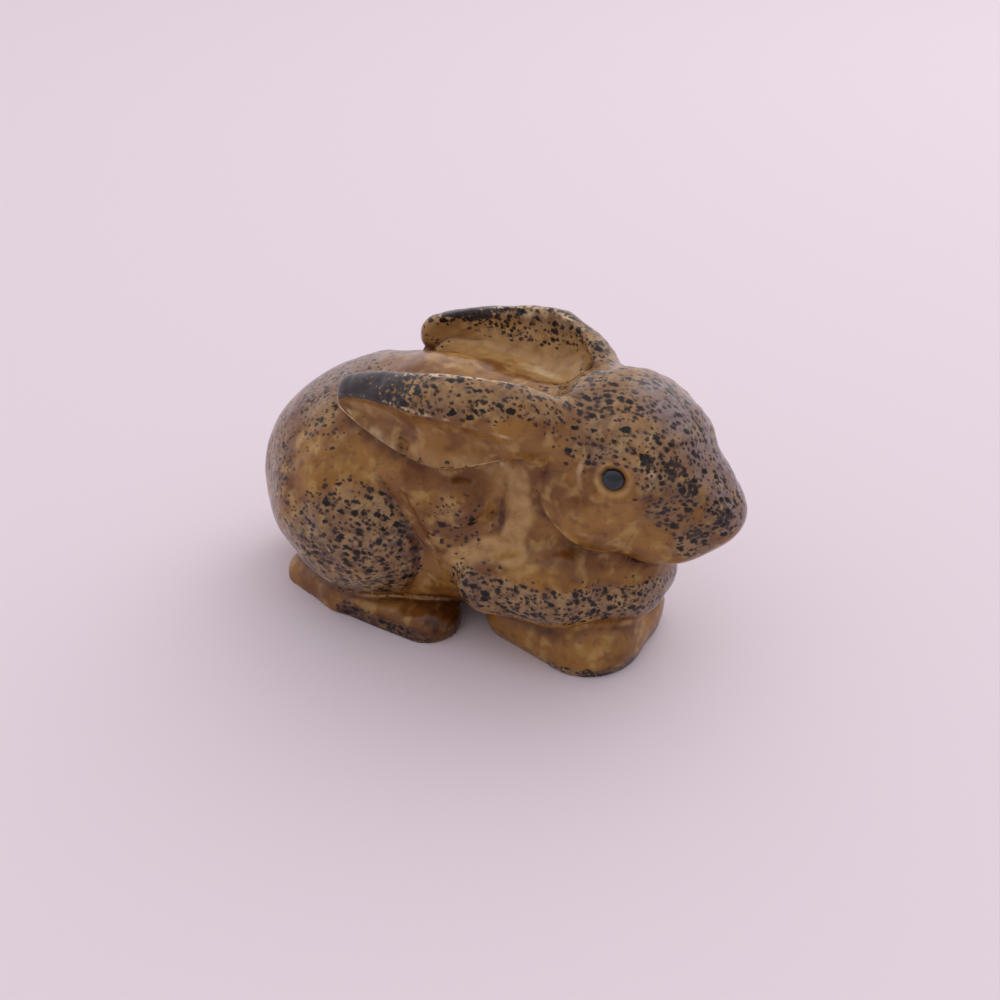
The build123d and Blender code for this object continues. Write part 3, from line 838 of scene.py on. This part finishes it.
# Ground of the glaze: translucent honey brown that mottles from tan to yellow over the pale clay.
# Every size, here and in the lists below, is in millimetres.
GRAIN_SIZE, HAZE_SIZE, RAGGED_SIZE, PEEL_SIZE, PEEL_HEIGHT = 1.5, 1.1, 0.55, 1.4, 0.3
RAGGEDNESS, ragged_edge = 2.4, (1.7, 2.05)
WOBBLE_SIZE, WOBBLE, speck_draw, speck_edge = 0.6, 0.8, (0.62, 1.0, 0.85), (-0.13, 0.15)
noise_middle = (0.5, 0.5, 0.5)
glaze, tree = new_material("speckled_stoneware_glaze")
coords = add_node(tree, "ShaderNodeTexCoord").outputs["Object"]
painted = {}
for name in ("pool_fine", "pool", "pool_wide", "edge", "speck", "smudge", "stain_and_shade", "pale", "painted_sheen", "tip"):
    painted[name] = add_node(tree, "ShaderNodeAttribute", attribute_name=name).outputs["Fac"]
grounds = [
    (7.0, 3.0, 0.38, 0.62, 1.0, "#956930"),
    (2.4, 2.0, 0.48, 0.70, 0.75, "#b08d50"),
    (1.3, 3.0, 0.50, 0.75, 0.55, "#593413"),
]
colour = linear("#744920")
for size, detail, low, high, most, tone in grounds:
    cloud = add_node(tree, "ShaderNodeTexNoise", {
        "Vector": coords, "Scale": 1.0 / (size * mm), "Detail": detail})
    share = add_node(tree, "ShaderNodeMapRange", {
        "Value": cloud.outputs["Fac"], "From Min": low, "From Max": high, "To Max": most},
        interpolation_type="SMOOTHSTEP")
    colour = add_node(tree, "ShaderNodeMix", {
        "Factor": share.outputs["Result"], "A": colour, "B": linear(tone)}, data_type="RGBA").outputs["Result"]

# Pooling, staining, painted shade and thinning: each lays its tone over the ground, broken up by a fine cloud.
# Bloom is a painted sheen: the grey reflection of the bright sky, painted on the forehead, up the rump and
# between the wrists.
washes = [
    # Where specks lie thick the ground turns greyer and paler: partly paler glaze, partly painted sheen.
    ("speck", 0.35, 0.95, 0.6, "#9c8667"),
    ("pale", 0.0, 1.0, 1.0, "#c09b64"),
    # Painted sheen, the grey reflection of the sky.
    ("painted_sheen", 0.0, 1.0, 0.8, "#7e7074"),
    ("pool_wide", 0.2, 0.7, 0.4, "#7a4415"),
    ("pool", 0.16, 0.65, 0.75, "#552b0c"),
    # Stains, with the painted shade between the feet and on the front of the forepaws.
    ("stain_and_shade", 0.0, 1.0, 1.0, "#44210b"),
    ("pool_fine", 0.15, 0.6, 0.8, "#2c1408"),
    ("edge", 0.09, 0.3, 0.95, "#d3ba8f"),
]
grain = add_node(tree, "ShaderNodeTexNoise", {
    "Vector": coords, "Scale": 1.0 / (GRAIN_SIZE * mm), "Detail": 4.0})
grain = add_node(tree, "ShaderNodeMapRange", {
    "Value": grain.outputs["Fac"], "From Min": 0.3, "From Max": 0.6, "To Min": 0.35})
for name, low, high, most, tone in washes:
    share = add_node(tree, "ShaderNodeMapRange", {
        "Value": painted[name], "From Min": low, "From Max": high, "To Max": most},
        interpolation_type="SMOOTHSTEP")
    share = add_node(tree, "ShaderNodeMath", {
        0: share.outputs["Result"], 1: grain.outputs["Result"]}, operation="MULTIPLY")
    colour = add_node(tree, "ShaderNodeMix", {
        "Factor": share.outputs["Value"], "A": colour, "B": linear(tone)}, data_type="RGBA").outputs["Result"]

# Haze: where specks lie thick the iron bleeds into a soft purple brown between them.
cloud = add_node(tree, "ShaderNodeTexNoise", {
    "Vector": coords, "Scale": 1.0 / (HAZE_SIZE * mm), "Detail": 3.0})
haze = add_node(tree, "ShaderNodeMapRange", {
    "Value": cloud.outputs["Fac"], "From Min": 0.45, "From Max": 0.75, "To Max": 0.7})
haze = add_node(tree, "ShaderNodeMath", {
    0: haze.outputs["Result"], 1: painted["speck"]}, operation="MULTIPLY")
colour = add_node(tree, "ShaderNodeMix", {
    "Factor": haze.outputs["Value"], "A": colour, "B": linear("#4a3334")}, data_type="RGBA").outputs["Result"]


def specks(size, most, fewest, low, high):
    """Iron specks in cells of a size in millimetres: each cell has a speck by chance, more where the
    painted density is high, drawn out along the body, with a soft uneven edge. Returns cover, chance."""
    cloud = add_node(tree, "ShaderNodeTexNoise", {
        "Vector": coords, "Scale": 1.0 / (WOBBLE_SIZE * size * mm), "Detail": 2.0})
    wobble = add_node(tree, "ShaderNodeVectorMath", {
        0: cloud.outputs["Color"], 1: noise_middle}, operation="SUBTRACT")
    moved = add_node(tree, "ShaderNodeVectorMath", {
        0: wobble.outputs["Vector"], 1: [WOBBLE * size * mm] * 3, 2: coords}, operation="MULTIPLY_ADD")
    drawn = add_node(tree, "ShaderNodeVectorMath", {
        0: moved.outputs["Vector"], 1: speck_draw}, operation="MULTIPLY")
    cells = add_node(tree, "ShaderNodeTexVoronoi", {
        "Vector": drawn.outputs["Vector"], "Scale": 1.0 / (size * mm)})
    dice = add_node(tree, "ShaderNodeSeparateColor", {"Color": cells.outputs["Color"]})
    odds = add_node(tree, "ShaderNodeMath", {
        0: painted["speck"], 1: most, 2: -fewest}, operation="MULTIPLY_ADD")
    chosen = add_node(tree, "ShaderNodeMath", {
        0: odds.outputs["Value"], 1: dice.outputs["Red"]}, operation="GREATER_THAN")
    radius = add_node(tree, "ShaderNodeMapRange", {
        "Value": dice.outputs["Green"], "To Min": low, "To Max": high})
    inside = add_node(tree, "ShaderNodeMath", {
        0: radius.outputs["Result"], 1: cells.outputs["Distance"]}, operation="SUBTRACT")
    cover = add_node(tree, "ShaderNodeMapRange", {
        "Value": inside.outputs["Value"], "From Min": speck_edge[0], "From Max": speck_edge[1]},
        interpolation_type="SMOOTHSTEP")
    cover = add_node(tree, "ShaderNodeMath", {
        0: cover.outputs["Result"], 1: chosen.outputs["Value"]}, operation="MULTIPLY")
    return cover.outputs["Value"], dice.outputs["Blue"]


# Iron specks in two sizes: purple brown ones wherever there is iron, near-black ones where it is thick.
speck_layers = [
    (0.5, 1.5, 0.0, 0.15, 0.54, ("#462c24", "#291a19")),
    (0.8, 1.5, 0.55, 0.18, 0.54, ("#080404", "#190b08")),
]
for size, most, fewest, low, high, tones in speck_layers:
    cover, chance = specks(size, most, fewest, low, high)
    tone = add_node(tree, "ShaderNodeMix", {
        "Factor": chance, "A": linear(tones[0]), "B": linear(tones[1])}, data_type="RGBA")
    colour = add_node(tree, "ShaderNodeMix", {
        "Factor": cover, "A": colour, "B": tone.outputs["Result"]}, data_type="RGBA").outputs["Result"]

# Smudges and ear tips: iron so thick that the specks run together, with a ragged edge.
ragged = add_node(tree, "ShaderNodeTexNoise", {
    "Vector": coords, "Scale": 1.0 / (RAGGED_SIZE * mm), "Detail": 2.0})
for name, most, tone in [("smudge", 0.85, "#150d0e"), ("tip", 0.92, "#25252d")]:
    amount = add_node(tree, "ShaderNodeMath", {
        0: ragged.outputs["Fac"], 1: RAGGEDNESS, 2: painted[name]}, operation="MULTIPLY_ADD")
    share = add_node(tree, "ShaderNodeMapRange", {
        "Value": amount.outputs["Value"], "From Min": ragged_edge[0], "From Max": ragged_edge[1],
        "To Max": most}, interpolation_type="SMOOTHSTEP")
    colour = add_node(tree, "ShaderNodeMix", {
        "Factor": share.outputs["Result"], "A": colour, "B": linear(tone)}, data_type="RGBA").outputs["Result"]

# Surface of the glaze: a soft gloss with a faint orange peel.
peel = add_node(tree, "ShaderNodeTexNoise", {
    "Vector": coords, "Scale": 1.0 / (PEEL_SIZE * mm), "Detail": 2.0})
peel = add_node(tree, "ShaderNodeBump", {
    "Height": peel.outputs["Fac"], "Strength": 0.12, "Distance": PEEL_HEIGHT * mm})
gloss = add_node(tree, "ShaderNodeBsdfPrincipled", {
    "Base Color": colour, "Roughness": 0.22, "IOR": 1.54, "Specular IOR Level": 0.3,
    "Normal": peel.outputs["Normal"]})
add_node(tree, "ShaderNodeOutputMaterial", {"Surface": gloss.outputs["BSDF"]})
for piece in glazed.values():
    paint_attributes(piece)
    piece.data.materials.append(glaze)


# Stage: a plain pale floor, a large soft lamp above and behind, a sky that is brighter on that side,
# and the camera of the photograph.
camera_azimuth, camera_elevation = math.radians(28.1), math.radians(32.0)
camera_place = Vector((71.0, -130.0, 108.4)) * mm
SENSOR, FOCAL_SHARE = 36.0, 1.3
FLOOR_HALF = 1500.0
bright_side = (-0.30, 0.50, 0.81)
lamp_place, lamp_aim = Vector((0.15, 0.38, 0.42)), Vector((0.0, 0.0, 15.0 * mm))
LAMP_SIZE, LAMP_POWER = 0.5, 0.65

floor_mesh = bpy.data.meshes.new("floor")
half = FLOOR_HALF * mm
corners = [(-half, -half, 0), (half, -half, 0), (half, half, 0), (-half, half, 0)]
floor_mesh.from_pydata(corners, [], [(0, 1, 2, 3)])
floor = bpy.data.objects.new("floor", floor_mesh)
bpy.context.collection.objects.link(floor)
paper, tree = new_material("pale_paper")
sheet = add_node(tree, "ShaderNodeBsdfPrincipled", {
    "Base Color": linear("#ddd4da"), "Roughness": 0.9, "IOR": 1.45})
add_node(tree, "ShaderNodeOutputMaterial", {"Surface": sheet.outputs["BSDF"]})
floor_mesh.materials.append(paper)

world = bpy.data.worlds.new("studio")
world.use_nodes = True
tree = world.node_tree
tree.nodes.clear()
heading = add_node(tree, "ShaderNodeTexCoord").outputs["Generated"]
facing = add_node(tree, "ShaderNodeVectorMath", {0: heading, 1: bright_side}, operation="DOT_PRODUCT")
level = add_node(tree, "ShaderNodeMapRange", {
    "Value": facing.outputs["Value"], "From Min": -0.25, "From Max": 0.95, "To Min": 0.62, "To Max": 1.38},
    interpolation_type="SMOOTHSTEP")
sky = add_node(tree, "ShaderNodeBackground", {
    "Color": linear("#eae3e9"), "Strength": level.outputs["Result"]})
add_node(tree, "ShaderNodeOutputWorld", {"Surface": sky.outputs["Background"]})
bpy.context.scene.world = world

lamp = bpy.data.lights.new("window", "AREA")
lamp.size, lamp.energy, lamp.color = LAMP_SIZE, LAMP_POWER, linear("#ffffff")[:3]
holder = bpy.data.objects.new("window", lamp)
holder.location = lamp_place
holder.rotation_euler = (lamp_aim - lamp_place).to_track_quat("-Z", "Y").to_euler()
bpy.context.collection.objects.link(holder)

camera = bpy.data.cameras.new("camera")
camera.sensor_width, camera.lens = SENSOR, SENSOR * FOCAL_SHARE
holder = bpy.data.objects.new("camera", camera)
holder.location = camera_place
look = Vector((-math.sin(camera_azimuth) * math.cos(camera_elevation),
               math.cos(camera_azimuth) * math.cos(camera_elevation), -math.sin(camera_elevation)))
holder.rotation_euler = look.to_track_quat("-Z", "Y").to_euler()
bpy.context.collection.objects.link(holder)
bpy.context.scene.camera = holder
bpy.context.scene.view_settings.view_transform = "Standard"
